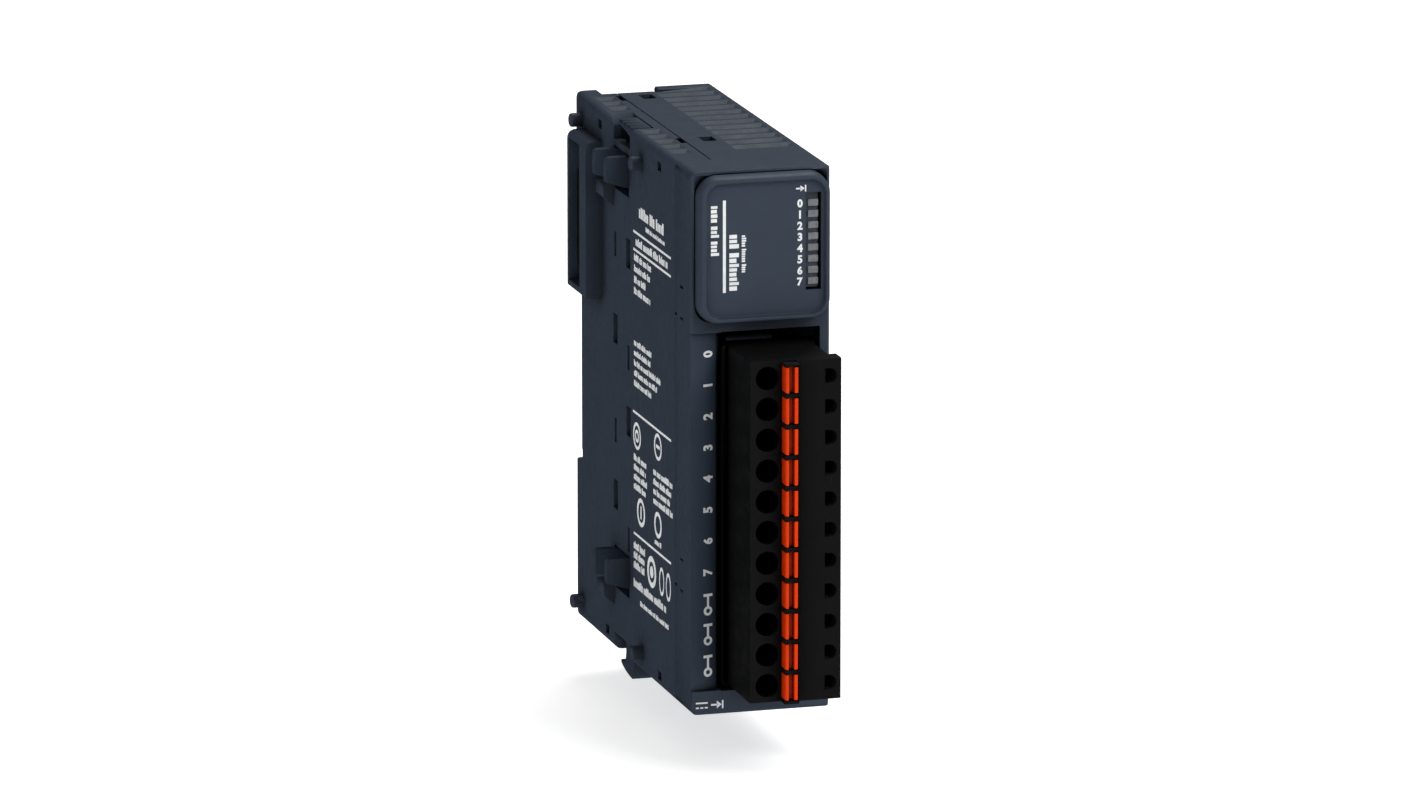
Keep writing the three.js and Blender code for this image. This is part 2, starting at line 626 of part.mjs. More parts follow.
function railClip() {
  const back = DEPTH - 0.4;
  const front = SEAT_Y + 0.8;
  const jawTop = MID_Z - RAIL_LIP_HALF;
  const slotEnd = MID_Z - RAIL_SLOT_HALF - 0.4;
  const plate = box(CLIP.x0, CLIP.x1, front, back, -CLIP.below, slotEnd);
  const flanges = box(CLIP.x0 - 0.8, CLIP.x1 + 0.8, front, front + 0.9, 5, 24);
  const jawFront = SEAT_Y + RAIL_FLANGE + 0.1;
  const jawOutline = [
    [jawFront, slotEnd - 1], [back, slotEnd - 1], [back, jawTop - 1.2],
    [back - 1.0, jawTop], [jawFront, jawTop],
  ];
  const jaw = prism("x", jawOutline, CLIP.x0, CLIP.x1);
  const pullSlot = box(CLIP.x0 + 1.8, CLIP.x1 - 1.8, front - 1, back + 1, -3.4, -1.9);
  const grips = range(4).map((i) => {
    const z = 1.5 + i * 1.6;
    return box(CLIP.x0 - 1, CLIP.x1 + 1, back - 0.4, back + 1, z, z + 0.8);
  });
  return cut(join(plate, flanges, jaw), pullSlot, grips);
}

add("rail_clip", railClip(), LOCK_PLASTIC());

// ---------------------------------------------------------------- terminal plug

const PLUG = { x0: 6.35, x1: 20.05, z0: 4.75, z1: 61.15 };
const COLUMN = { x0: 11.55, x1: 13.95 };
const LEVER = { x0: 11.65, x1: 13.75 };
const TEST_HOLE = { x0: 18.7, half: 1.2, flat: 0.8, depth: 2.6 };
const CHAMBER = { x0: 7.3, y0: -6.2, y1: 2.6, half: 2.0 };
const LEVER_FOOT = { reach: 0.3, y0: -9.1, y1: -7.8, stopY: -9.5 };

// A test hole's outline: flat on its left side and round on its right.
function testHoleShape(z) {
  const { x0, half, flat } = TEST_HOLE;
  const shape = new THREE.Shape();
  shape.moveTo(z - half, x0);
  shape.lineTo(z + half, x0);
  shape.lineTo(z + half, x0 + flat);
  shape.absarc(z, x0 + flat, half, 0, Math.PI, false);
  return shape;
}

function plugBody() {
  const { x0, x1, z0, z1 } = PLUG;
  const solidPart = join(
    box(x0, x1, FACE_Y, 0.6, z0, z1),
    box(x0 + 0.1, x1, 0.5, 3.1, 5.6, z1),
    box(x0 + 0.2, x1, 3.0, 11.6, 5.6, 59.8),
    box(COLUMN.x0, COLUMN.x1, LEVER_Y + 0.1, FACE_Y + 1, z0, z1 - 0.2),
    box(COLUMN.x1 - 0.1, 21.4, TEST_FACE_Y, TEST_FACE_Y + TEST_HOLE.depth + 0.5, z0, z1),
  );
  const poleCuts = range(POLES).flatMap((i) => {
    const z = poleZ(i);
    const slotHalf = LEVER_HEIGHT / 2 + 0.12;
    const slotEnd = LEVER_FOOT.stopY + LEVER_TRAVEL + GAP;
    const footRoomX = LEVER.x0 - LEVER_FOOT.reach - 0.1;
    const testHole = testHoleShape(z);
    return [
      cylinder("y", HOLE_X, z, HOLE_RADIUS, FACE_Y - 1, CHAMBER.y0 + 0.5, 20),
      box(footRoomX, COLUMN.x1 + 0.05, LEVER_FOOT.stopY, 0, z - CHAMBER.half, z + CHAMBER.half),
      box(CHAMBER.x0, COLUMN.x1 + 0.05, CHAMBER.y0, CHAMBER.y1, z - CHAMBER.half, z + CHAMBER.half),
      box(COLUMN.x0 - 0.05, LEVER.x1 + 0.12, LEVER_Y - 1, slotEnd, z - slotHalf, z + slotHalf),
      box(12.1, 13.9, CHAMBER.y1 - 0.5, 12.5, z - 0.9, z + 0.9),
      prismShape("y", testHole, TEST_FACE_Y - 1, TEST_FACE_Y + TEST_HOLE.depth),
    ];
  });
  return cut(solidPart, poleCuts);
}

// Push lever: two ridges and a groove on its face, and a foot that stops it from leaving the plug.
function pushLever(i) {
  const z = poleZ(i);
  const { x0, x1 } = LEVER;
  const groove = LEVER_Y + 0.9;
  const face = LEVER_Y;
  const { reach, y0, y1 } = LEVER_FOOT;
  const outline = [
    [x0, y1], [x0 - reach, y1], [x0 - reach, y0], [x0, y0],
    [x0, face + 0.25], [x0 + 0.2, face], [x0 + 0.5, face], [x0 + 0.65, groove], [x1 - 0.8, groove],
    [x1 - 0.65, face], [x1 - 0.15, face], [x1, face + 0.2], [x1, y1],
  ];
  const body = prism("z", outline, z - LEVER_HEIGHT / 2, z + LEVER_HEIGHT / 2);
  const trim = [1, -1].map((side) => box(x0 - 1, x1 + 1, -9.6, -7, ...(side > 0
    ? [z + CHAMBER.half - 0.25, z + 3] : [z - 3, z - CHAMBER.half + 0.25])));
  return cut(body, trim);
}

// Spring clamp: a bent strip with a back, a foot for the header pin and a leg that holds the wire.
function springClamp(i) {
  const z = poleZ(i);
  const t = 0.5;
  const outline = [
    [13.5, -4.6], [13.5, 2.0], [9.0, 2.0], [7.8, -3.6], [7.8 + t, -3.9],
    [9.0 + t, 2.0 - t], [13.5 - t, 2.0 - t], [13.5 - t, -4.6],
  ];
  return prism("z", outline, z - 1.5, z + 1.5);
}

const plug = new THREE.Group();
assembly.add(plug);
add("terminal_plug", plugBody(), BLACK_PLASTIC(), plug);
range(POLES).forEach((i) => {
  add(`push_lever_${i}`, pushLever(i), LEVER_ORANGE(), plug);
  add(`spring_clamp_${i}`, springClamp(i), METAL(), plug);
});

const inputModule = new THREE.Group();
inputModule.add(assembly);

export default inputModule;
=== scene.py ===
"""Looks of a rail-mounted input module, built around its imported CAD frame.

Places are given in housing coordinates, in millimetres: x from the left side, y from the front face
towards the rail, z from the bottom. at(x, y, z) turns them into the frame's metres.
"""
import json
import math
import random

import bmesh
import bpy
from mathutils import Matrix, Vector

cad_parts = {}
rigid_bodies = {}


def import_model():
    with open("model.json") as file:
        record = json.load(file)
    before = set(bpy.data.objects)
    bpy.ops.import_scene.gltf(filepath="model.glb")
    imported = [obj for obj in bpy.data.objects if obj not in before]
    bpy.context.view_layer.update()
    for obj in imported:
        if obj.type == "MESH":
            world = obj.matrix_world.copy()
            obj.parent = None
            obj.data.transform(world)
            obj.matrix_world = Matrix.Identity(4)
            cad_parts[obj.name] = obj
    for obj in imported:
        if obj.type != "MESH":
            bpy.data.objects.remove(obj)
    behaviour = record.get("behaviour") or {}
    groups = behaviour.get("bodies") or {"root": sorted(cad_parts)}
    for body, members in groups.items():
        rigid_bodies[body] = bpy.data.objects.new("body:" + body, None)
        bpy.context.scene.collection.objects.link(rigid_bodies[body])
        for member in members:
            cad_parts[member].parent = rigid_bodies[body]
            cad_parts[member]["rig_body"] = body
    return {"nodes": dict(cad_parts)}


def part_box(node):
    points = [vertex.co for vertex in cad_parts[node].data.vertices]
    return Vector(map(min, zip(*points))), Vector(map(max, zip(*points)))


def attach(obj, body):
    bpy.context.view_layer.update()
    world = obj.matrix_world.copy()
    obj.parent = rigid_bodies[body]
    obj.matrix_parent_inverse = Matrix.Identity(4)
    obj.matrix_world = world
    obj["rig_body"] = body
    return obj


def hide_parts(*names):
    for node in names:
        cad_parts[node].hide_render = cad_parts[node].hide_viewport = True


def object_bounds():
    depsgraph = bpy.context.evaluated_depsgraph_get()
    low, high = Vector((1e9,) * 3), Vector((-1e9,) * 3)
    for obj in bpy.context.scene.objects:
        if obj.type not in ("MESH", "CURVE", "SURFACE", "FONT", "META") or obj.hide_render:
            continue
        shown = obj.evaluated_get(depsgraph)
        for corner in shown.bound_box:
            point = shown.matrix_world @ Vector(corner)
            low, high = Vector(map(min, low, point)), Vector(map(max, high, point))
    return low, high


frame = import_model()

CAD_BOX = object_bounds()
HOUSING_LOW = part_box("main_housing")[0]
MM = 0.001
CHANNELS = 8
POLES = 11


def at(x, y, z):
    """The point in the frame, in metres, for housing coordinates in millimetres."""
    return HOUSING_LOW + Vector((x, y, z)) * MM


def housing_box(node):
    """The lowest and highest corner of a CAD node in housing coordinates, in millimetres."""
    low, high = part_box(node)
    return (low - HOUSING_LOW) / MM, (high - HOUSING_LOW) / MM


def add_object(name, data):
    """A new object in the scene that holds this mesh, lamp or camera."""
    thing = bpy.data.objects.new(name, data)
    bpy.context.scene.collection.objects.link(thing)
    return thing


def mesh_of(bm, name):
    """The mesh of a finished bmesh, which is freed."""
    mesh = bpy.data.meshes.new(name)
    bm.to_mesh(mesh)
    bm.free()
    return mesh


# ---------------------------------------------------------------- materials

# Most of a noise texture's values lie between these two.
NOISE_LOW, NOISE_HIGH = 0.3, 0.7

# Moulded pieces: how far painted shade reaches from a corner, and how round sharp edges look, in mm.
PAINTED_SHADE_REACH = 4.0
EDGE_RADIUS = 0.14


def new_material(name):
    """A new material, with its node tree and its shader."""
    material = bpy.data.materials.new(name)
    material.use_nodes = True
    shader = material.node_tree.nodes["Principled BSDF"]
    return material, material.node_tree, shader


def noise(tree, scale, detail=4.0):
    """A noise texture in object space; scale is in features per metre."""
    place = tree.nodes.new("ShaderNodeTexCoord")
    texture = tree.nodes.new("ShaderNodeTexNoise")
    texture.inputs["Scale"].default_value = scale
    texture.inputs["Detail"].default_value = detail
    texture.inputs["Roughness"].default_value = 0.55
    tree.links.new(place.outputs["Object"], texture.inputs["Vector"])
    return texture.outputs["Fac"]


def uneven_gloss(tree, shader, scale, low, high):
    """Roughness that wanders from low to high."""
    span = tree.nodes.new("ShaderNodeMapRange")
    span.inputs["From Min"].default_value = NOISE_LOW
    span.inputs["From Max"].default_value = NOISE_HIGH
    span.inputs["To Min"].default_value = low
    span.inputs["To Max"].default_value = high
    tree.links.new(noise(tree, scale), span.inputs["Value"])
    tree.links.new(span.outputs["Result"], shader.inputs["Roughness"])


def tint(colour, factor):
    """A colour made lighter or darker, with its alpha."""
    return (*[min(1.0, channel * factor) for channel in colour], 1.0)


def mottled_colour(tree, shader, colour, spread, scale, shade_reach=0.0):
    """Base colour that drifts a little; painted shade darkens corners up to shade_reach mm away."""
    ramp = tree.nodes.new("ShaderNodeValToRGB")
    ramp.color_ramp.elements[0].position = NOISE_LOW
    ramp.color_ramp.elements[1].position = NOISE_HIGH
    ramp.color_ramp.elements[0].color = tint(colour, 1 - spread)
    ramp.color_ramp.elements[1].color = tint(colour, 1 + spread)
    tree.links.new(noise(tree, scale), ramp.inputs["Fac"])
    result = ramp.outputs["Color"]
    # Ambient occlusion paints shade into the colour: corners and recesses darken where nearby faces keep
    # light out.
    if shade_reach:
        painted_shade_node = tree.nodes.new("ShaderNodeAmbientOcclusion")
        painted_shade_node.samples = 8
        painted_shade_node.inputs["Distance"].default_value = shade_reach * MM
        tree.links.new(result, painted_shade_node.inputs["Color"])
        result = painted_shade_node.outputs["Color"]
    tree.links.new(result, shader.inputs["Base Color"])


def grain(tree, shader, scale, height, strength, corner=0.0):
    """Fine surface grain, as bump; height and corner, the radius of softened edges, are in mm."""
    bump = tree.nodes.new("ShaderNodeBump")
    bump.inputs["Strength"].default_value = strength
    bump.inputs["Distance"].default_value = height * MM
    tree.links.new(noise(tree, scale, detail=2.0), bump.inputs["Height"])
    if corner:
        edges = tree.nodes.new("ShaderNodeBevel")
        edges.samples = 4
        edges.inputs["Radius"].default_value = corner * MM
        tree.links.new(edges.outputs["Normal"], bump.inputs["Normal"])
    tree.links.new(bump.outputs["Normal"], shader.inputs["Normal"])


def moulded_plastic(name, colour, roughness, specular, grain_height=0.02):
    """Moulded plastic: grained, faintly mottled, with painted shade in corners and a gloss that varies a
    little.
    """
    material, tree, shader = new_material(name)
    mottled_colour(tree, shader, colour, spread=0.04, scale=130.0, shade_reach=PAINTED_SHADE_REACH)
    uneven_gloss(tree, shader, scale=420.0, low=roughness - 0.06, high=roughness + 0.06)
    shader.inputs["Specular IOR Level"].default_value = specular
    grain(tree, shader, scale=3200.0, height=grain_height, strength=0.35, corner=EDGE_RADIUS)
    return material


def printed_ink(name, colour):
    """Pad-printed ink: matt and faintly uneven."""
    material, tree, shader = new_material(name)
    mottled_colour(tree, shader, colour, spread=0.08, scale=900.0)
    shader.inputs["Roughness"].default_value = 0.6
    shader.inputs["Specular IOR Level"].default_value = 0.2
    grain(tree, shader, scale=2500.0, height=0.01, strength=0.3)
    return material


def frosted_lens(name, colour):
    """Milky plastic, with the fine sparkle of a frosted face."""
    material, tree, shader = new_material(name)
    mottled_colour(tree, shader, colour, spread=0.2, scale=1500.0)
    shader.inputs["Roughness"].default_value = 0.42
    shader.inputs["Specular IOR Level"].default_value = 0.4
    shader.inputs["Subsurface Weight"].default_value = 0.15
    shader.inputs["Subsurface Scale"].default_value = 0.3 * MM
    grain(tree, shader, scale=2200.0, height=0.02, strength=0.5)
    return material


def plated_metal(name, colour, roughness):
    """Plated contact metal with a patchy gloss."""
    material, tree, shader = new_material(name)
    mottled_colour(tree, shader, colour, spread=0.06, scale=300.0)
    uneven_gloss(tree, shader, scale=1200.0, low=roughness - 0.08, high=roughness + 0.1)
    shader.inputs["Metallic"].default_value = 1.0
    return material


def solder_resist(name, colour, copper):
    """Circuit-board resist with lighter lines where copper tracks run under it."""
    material, tree, shader = new_material(name)
    place = tree.nodes.new("ShaderNodeTexCoord")
    turn = tree.nodes.new("ShaderNodeMapping")
    turn.inputs["Rotation"].default_value = (math.pi / 2, 0, math.pi / 2)
    tracks = tree.nodes.new("ShaderNodeTexBrick")
    tracks.inputs["Color1"].default_value = tint(colour, 0.9)
    tracks.inputs["Color2"].default_value = tint(colour, 1.1)
    tracks.inputs["Mortar"].default_value = tint(copper, 1.0)
    tracks.inputs["Scale"].default_value = 90.0
    tracks.inputs["Mortar Size"].default_value = 0.03
    tree.links.new(place.outputs["Object"], turn.inputs["Vector"])
    tree.links.new(turn.outputs["Vector"], tracks.inputs["Vector"])
    tree.links.new(tracks.outputs["Color"], shader.inputs["Base Color"])
    shader.inputs["Roughness"].default_value = 0.4
    grain(tree, shader, scale=800.0, height=0.02, strength=0.3)
    return material


HOUSING_PLASTIC = moulded_plastic("housing_plastic", (0.034, 0.047, 0.071), roughness=0.52, specular=0.24)
LOCK_PLASTIC = moulded_plastic("lock_plastic", (0.031, 0.043, 0.065), roughness=0.5, specular=0.24)
BLACK_PLASTIC = moulded_plastic("black_plastic", (0.0066, 0.0067, 0.0068), roughness=0.5, specular=0.12)
LEVER_PLASTIC = moulded_plastic("lever_plastic", (0.66, 0.036, 0.0004), roughness=0.45, specular=0.1,
                                grain_height=0.008)
LENS = frosted_lens("light_guide_pads", (0.165, 0.175, 0.19))
LENS_BODY = frosted_lens("light_guide_body", (0.042, 0.051, 0.067))
INK = printed_ink("white_ink", (0.72, 0.74, 0.75))
BOARD = solder_resist("board_resist", (0.012, 0.085, 0.035), (0.03, 0.15, 0.06))
CHIP_RESIN = moulded_plastic("chip_resin", (0.012, 0.012, 0.013), roughness=0.55, specular=0.3)
LED_RESIN = frosted_lens("led_resin", (0.7, 0.68, 0.55))
TIN = plated_metal("tinned_metal", (0.62, 0.62, 0.6), roughness=0.3)
GOLD = plated_metal("gold_contacts", (0.83, 0.58, 0.22), roughness=0.25)


# ---------------------------------------------------------------- mesh helpers

# Faces that meet at less than FLAT are one flat side; from EDGE_ANGLE an edge is rounded, and from
# SMOOTH_ANGLE it stays sharp in the shading. Points closer than MERGE are one.
FLAT = math.radians(0.5)
EDGE_ANGLE = math.radians(28.0)
SMOOTH_ANGLE = math.radians(48.0)
MERGE = 0.0005 * MM


def link(name, mesh, material, body):
    """A new piece with its material, riding on a CAD body."""
    piece = add_object(name, mesh)
    mesh.materials.clear()
    mesh.materials.append(material)
    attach(piece, body)
    return piece


def shade(piece):
    """Smooth over rounded edges, with the flat faces kept flat."""
    mesh = piece.data
    mesh.polygons.foreach_set("use_smooth", [True] * len(mesh.polygons))
    mesh.set_sharp_from_angle(angle=SMOOTH_ANGLE)
    weighted = piece.modifiers.new("flat_faces", "WEIGHTED_NORMAL")
    weighted.mode = "FACE_AREA"
    weighted.keep_sharp = True


def join_flat_faces(bm):
    """Welds a CAD mesh and turns each flat side into as few faces as it needs."""
    bmesh.ops.remove_doubles(bm, verts=bm.verts, dist=MERGE)
    bmesh.ops.dissolve_limit(bm, angle_limit=FLAT, verts=bm.verts, edges=bm.edges)


def round_edges(bm, radius):
    """Rounds every sharp edge of a closed mesh, as a mould does."""
    sharp = [e for e in bm.edges if len(e.link_faces) == 2 and e.calc_face_angle() > EDGE_ANGLE]
    bmesh.ops.bevel(bm, geom=sharp, offset=radius, offset_type="OFFSET", segments=2,
                    profile=0.5, affect="EDGES", clamp_overlap=True)


def skin(node, material, radius=0.0):
    """Stands for a CAD node: the same shape with clean faces, and rounded edges if given a radius in mm."""
    source = frame["nodes"][node]
    bm = bmesh.new()
    bm.from_mesh(source.data)
    join_flat_faces(bm)
    if radius:
        round_edges(bm, radius * MM)
    mesh = mesh_of(bm, node + "_skin")
    piece = link(node + "_skin", mesh, material, source["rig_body"])
    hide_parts(node)
    shade(piece)
    return piece


def rounded_rectangle(x0, x1, z0, z1, radius, steps=10):
    """Points round a rectangle with round corners, as (x, z), anticlockwise from the bottom right."""
    points = []
    for cx, cz, start in ((x1 - radius, z0 + radius, -90), (x1 - radius, z1 - radius, 0),
                          (x0 + radius, z1 - radius, 90), (x0 + radius, z0 + radius, 180)):
        for i in range(steps + 1):
            angle = math.radians(start + 90 * i / steps)
            points.append((cx + radius * math.cos(angle), cz + radius * math.sin(angle)))
    return points


def loft(bm, loops):
    """Joins closed loops of equally many points with quads and closes both ends."""
    rings = [[bm.verts.new(point) for point in loop] for loop in loops]
    for a, b in zip(rings, rings[1:]):
        count = len(a)
        for i in range(count):
            bm.faces.new((a[i], a[(i + 1) % count], b[(i + 1) % count], b[i]))
    bm.faces.new(list(reversed(rings[0])))
    bm.faces.new(rings[-1])


def paint(node, material):
    """Gives a CAD node that stays as it is its finish."""
    mesh = frame["nodes"][node].data
    mesh.materials.clear()
    mesh.materials.append(material)


# ---------------------------------------------------------------- camera, lights and floor

# The camera stands VIEW_DISTANCE metres from the point it looks at.
VIEW_AZIMUTH = math.radians(-16.05)
VIEW_ELEVATION = math.radians(13.0)
VIEW_DISTANCE = 1.784
AIM = at(3.14, 0.0, 52.64)
LENS_MM = 280.5
SENSOR_MM = 36.0

# The floor lies this far under the module, in mm: the rail clip comes down 4 mm when it is pulled.
FLOOR_GAP = 4.5
WHITE = (1.0, 1.0, 1.0, 1.0)


def direction(azimuth, elevation):
    """From the object towards a camera or lamp: azimuth 0 is straight in front of the module."""
    flat = math.cos(elevation)
    return Vector((math.sin(azimuth) * flat, -math.cos(azimuth) * flat, math.sin(elevation)))


def make_camera():
    """The photo's point of view, through a long lens."""
    data = bpy.data.cameras.new("camera")
    data.lens = LENS_MM
    data.sensor_width = SENSOR_MM
    data.clip_start = 0.05
    data.clip_end = 50.0
    camera = add_object("camera", data)
    back = direction(VIEW_AZIMUTH, VIEW_ELEVATION)
    camera.location = AIM + back * VIEW_DISTANCE
    camera.rotation_mode = "QUATERNION"
    camera.rotation_quaternion = back.to_track_quat("Z", "Y")
    bpy.context.scene.camera = camera


def softbox(name, azimuth, elevation, distance, size, power):
    """A square area lamp aimed at the middle of the module; angles in degrees, lengths in metres."""
    data = bpy.data.lights.new(name, "AREA")
    data.shape = "SQUARE"
    data.size = size
    data.energy = power
    lamp = add_object(name, data)
    towards = direction(math.radians(azimuth), math.radians(elevation))
    lamp.location = (CAD_BOX[0] + CAD_BOX[1]) / 2 + towards * distance
    lamp.rotation_mode = "QUATERNION"
    lamp.rotation_quaternion = towards.to_track_quat("Z", "Y")


def make_floor():
    """A wide pale floor that glows a little and stays out of the reflections."""
    half = 6.0
    level = CAD_BOX[0].z - FLOOR_GAP * MM
    mesh = bpy.data.meshes.new("floor")
    corners = [(-half, -half, level), (half, -half, level), (half, half, level), (-half, half, level)]
    mesh.from_pydata(corners, [], [(0, 1, 2, 3)])
    floor = add_object("floor", mesh)
    material, tree, shader = new_material("pale_floor")
    mottled_colour(tree, shader, (0.85, 0.85, 0.85), spread=0.01, scale=3.0)
    shader.inputs["Roughness"].default_value = 0.9
    shader.inputs["Emission Color"].default_value = WHITE
    shader.inputs["Emission Strength"].default_value = 0.6
    mesh.materials.append(material)
    floor.visible_glossy = False


def make_world():
    """An even white surround that stays out of the reflections."""
    world = bpy.data.worlds.new("studio")
    world.use_nodes = True
    background = world.node_tree.nodes["Background"]
    background.inputs["Color"].default_value = WHITE
    background.inputs["Strength"].default_value = 0.4
    world.cycles_visibility.glossy = False
    bpy.context.scene.world = world
    bpy.context.scene.view_settings.view_transform = "Standard"


make_camera()
make_floor()
make_world()
softbox("key_softbox", azimuth=38, elevation=42, distance=1.1, size=0.55, power=6.0)
softbox("top_softbox", azimuth=150, elevation=60, distance=1.0, size=0.5, power=4.0)
softbox("left_softbox", azimuth=-75, elevation=25, distance=1.3, size=0.7, power=1.5)


# ---------------------------------------------------------------- pieces with the shape of their CAD node

# Of the light guide, what lies within this many mm of its front belongs to a pad.
PAD_DEPTH = 0.24


def light_guide():
    """The light guide: its pads are milky grey, the bar that joins them is dark."""
    piece = skin("light_guide", LENS_BODY, radius=0.06)
    piece.data.materials.append(LENS)
    front = min(vert.co.y for vert in piece.data.vertices)
    for face in piece.data.polygons:
        if face.center.y < front + PAD_DEPTH * MM:
            face.material_index = 1


skin("main_housing", HOUSING_PLASTIC)
skin("left_cover", HOUSING_PLASTIC)
skin("lock_slider", LOCK_PLASTIC)
skin("rail_clip", LOCK_PLASTIC, radius=0.15)
skin("terminal_plug", BLACK_PLASTIC)
skin("terminal_header", BLACK_PLASTIC)
skin("bus_plug", BLACK_PLASTIC, radius=0.15)
skin("bus_socket", BLACK_PLASTIC, radius=0.15)
light_guide()
for pole in range(POLES):
    skin(f"push_lever_{pole}", LEVER_PLASTIC, radius=0.07)
    paint(f"spring_clamp_{pole}", TIN)
paint("main_board", BOARD)
paint("header_pins", TIN)
paint("filter_capacitor", TIN)
paint("bus_controller", CHIP_RESIN)
for channel in range(CHANNELS):
    paint(f"status_led_{channel}", LED_RESIN)
    paint(f"optocoupler_{channel}", CHIP_RESIN)


# ---------------------------------------------------------------- bus contacts

# The bus blade and the slot for it share a middle, in y, and their strips share a span, in z.
BUS_MIDDLE = 60.5
BLADE_HALF = 0.8
SLOT_HALF = 1.2
STRIPS_LOW, STRIPS_HIGH = 62.9, 78.1
STRIPS = 10


def contact_strips(name, half, outwards, x_range):
    """Two rows of gilded strips, half to either side of the bus's middle.

    They look away from the middle if outwards is 1, and towards it if it is -1.
    """
    width, corner, proud, sunk = 0.8, 0.2, 0.06, 0.02
    pitch = (STRIPS_HIGH - STRIPS_LOW) / STRIPS
    bm = bmesh.new()
    for side in (-1, 1):
        face, look = BUS_MIDDLE + side * half, side * outwards
        for i in range(STRIPS):
            middle = STRIPS_LOW + pitch * (i + 0.5)
            outline = rounded_rectangle(*x_range, middle - width / 2, middle + width / 2, corner, steps=3)
            inner = [at(x, face - look * sunk, z) for x, z in outline]
            outer = [at(x, face + look * proud, z) for x, z in outline]
            loft(bm, [inner, outer])
    bmesh.ops.recalc_face_normals(bm, faces=bm.faces)
    link(name, mesh_of(bm, name), GOLD, "module")


def bus_contacts():
    """Strips on the blade that enters the previous module, and in the slot for the next one's."""
    tip = housing_box("bus_plug")[0].x
    mouth = housing_box("bus_socket")[1].x
    contact_strips("bus_plug_contacts", BLADE_HALF, 1, (tip + 0.4, 2.0))
    contact_strips("bus_socket_contacts", SLOT_HALF, -1, (mouth - 2.4, mouth - 0.2))


bus_contacts()


# ---------------------------------------------------------------- front panel

# The panel's outline and its sunk flat field, as left, right, bottom, top and corner radius.
PANEL_LOW, PANEL_HIGH = housing_box("front_panel")
PANEL_OUTLINE = (PANEL_LOW.x, PANEL_HIGH.x, PANEL_LOW.z, PANEL_HIGH.z, 3.4)
PANEL_FIELD = (2.4, 21.55, 66.5, 87.95, 2.2)

# How deep the field lies behind the crown of the bead, and the y of both.
PANEL_HOLLOW = 0.65
BEAD_Y = PANEL_LOW.y
FIELD_Y = BEAD_Y + PANEL_HOLLOW

# The window for the light guide, in x, y and z.
WINDOW = ((18.65, 21.25), (-4.0, 3.0), (70.1, 86.1))


def panel_profile():
    """The bead's cross-section as (share of the way from the outline to the field, y)."""
    seat, turn, rise_end, crown_end = 1.6, -0.2, 0.36, 0.62
    rise_steps, fall_steps = 7, 5
    points = [(0.0, seat), (0.0, turn)]
    for i in range(1, rise_steps + 1):
        angle = math.radians(90 * i / rise_steps)
        points.append((rise_end * (1 - math.cos(angle)), turn + (BEAD_Y - turn) * math.sin(angle)))
    points.append((crown_end, BEAD_Y))
    for i in range(1, fall_steps + 1):
        t = i / fall_steps
        ease = t * t * (3 - 2 * t)
        points.append((crown_end + (1 - crown_end) * t, BEAD_Y + PANEL_HOLLOW * ease))
    return points


def front_panel():
    """The panel as a smooth rounded bead round a flat field, with the window cut through it."""
    loops = []
    for share, y in panel_profile():
        sides = [a + (b - a) * share for a, b in zip(PANEL_OUTLINE, PANEL_FIELD)]
        loops.append([at(x, y, z) for x, z in rounded_rectangle(*sides)])
    bm = bmesh.new()
    loft(bm, loops)
    bmesh.ops.recalc_face_normals(bm, faces=bm.faces)
    mesh = mesh_of(bm, "front_panel_skin")
    piece = link("front_panel_skin", mesh, HOUSING_PLASTIC, "module")
    cut_window(piece, *WINDOW)
    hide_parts("front_panel")
    shade(piece)


def cut_window(piece, xs, ys, zs):
    """Cuts a rectangular opening right through a piece."""
    bm = bmesh.new()
    bmesh.ops.create_cube(bm, size=1.0)
    for vert in bm.verts:
        corner = [span[0] if c < 0 else span[1] for c, span in zip(vert.co, (xs, ys, zs))]
        vert.co = at(*corner)
    cutter = add_object("cutter", mesh_of(bm, "cutter"))
    boolean = piece.modifiers.new("window", "BOOLEAN")
    boolean.operation = "DIFFERENCE"
    boolean.solver = "EXACT"
    boolean.object = cutter
    evaluated = piece.evaluated_get(bpy.context.evaluated_depsgraph_get())
    piece.data = bpy.data.meshes.new_from_object(evaluated)
    piece.modifiers.clear()
    bpy.data.objects.remove(cutter)


front_panel()


# ---------------------------------------------------------------- printed markings

# How far the ink reaches into the surface and stands proud of it, in mm.
INK_SINK = 0.012
INK_HEIGHT = 0.022


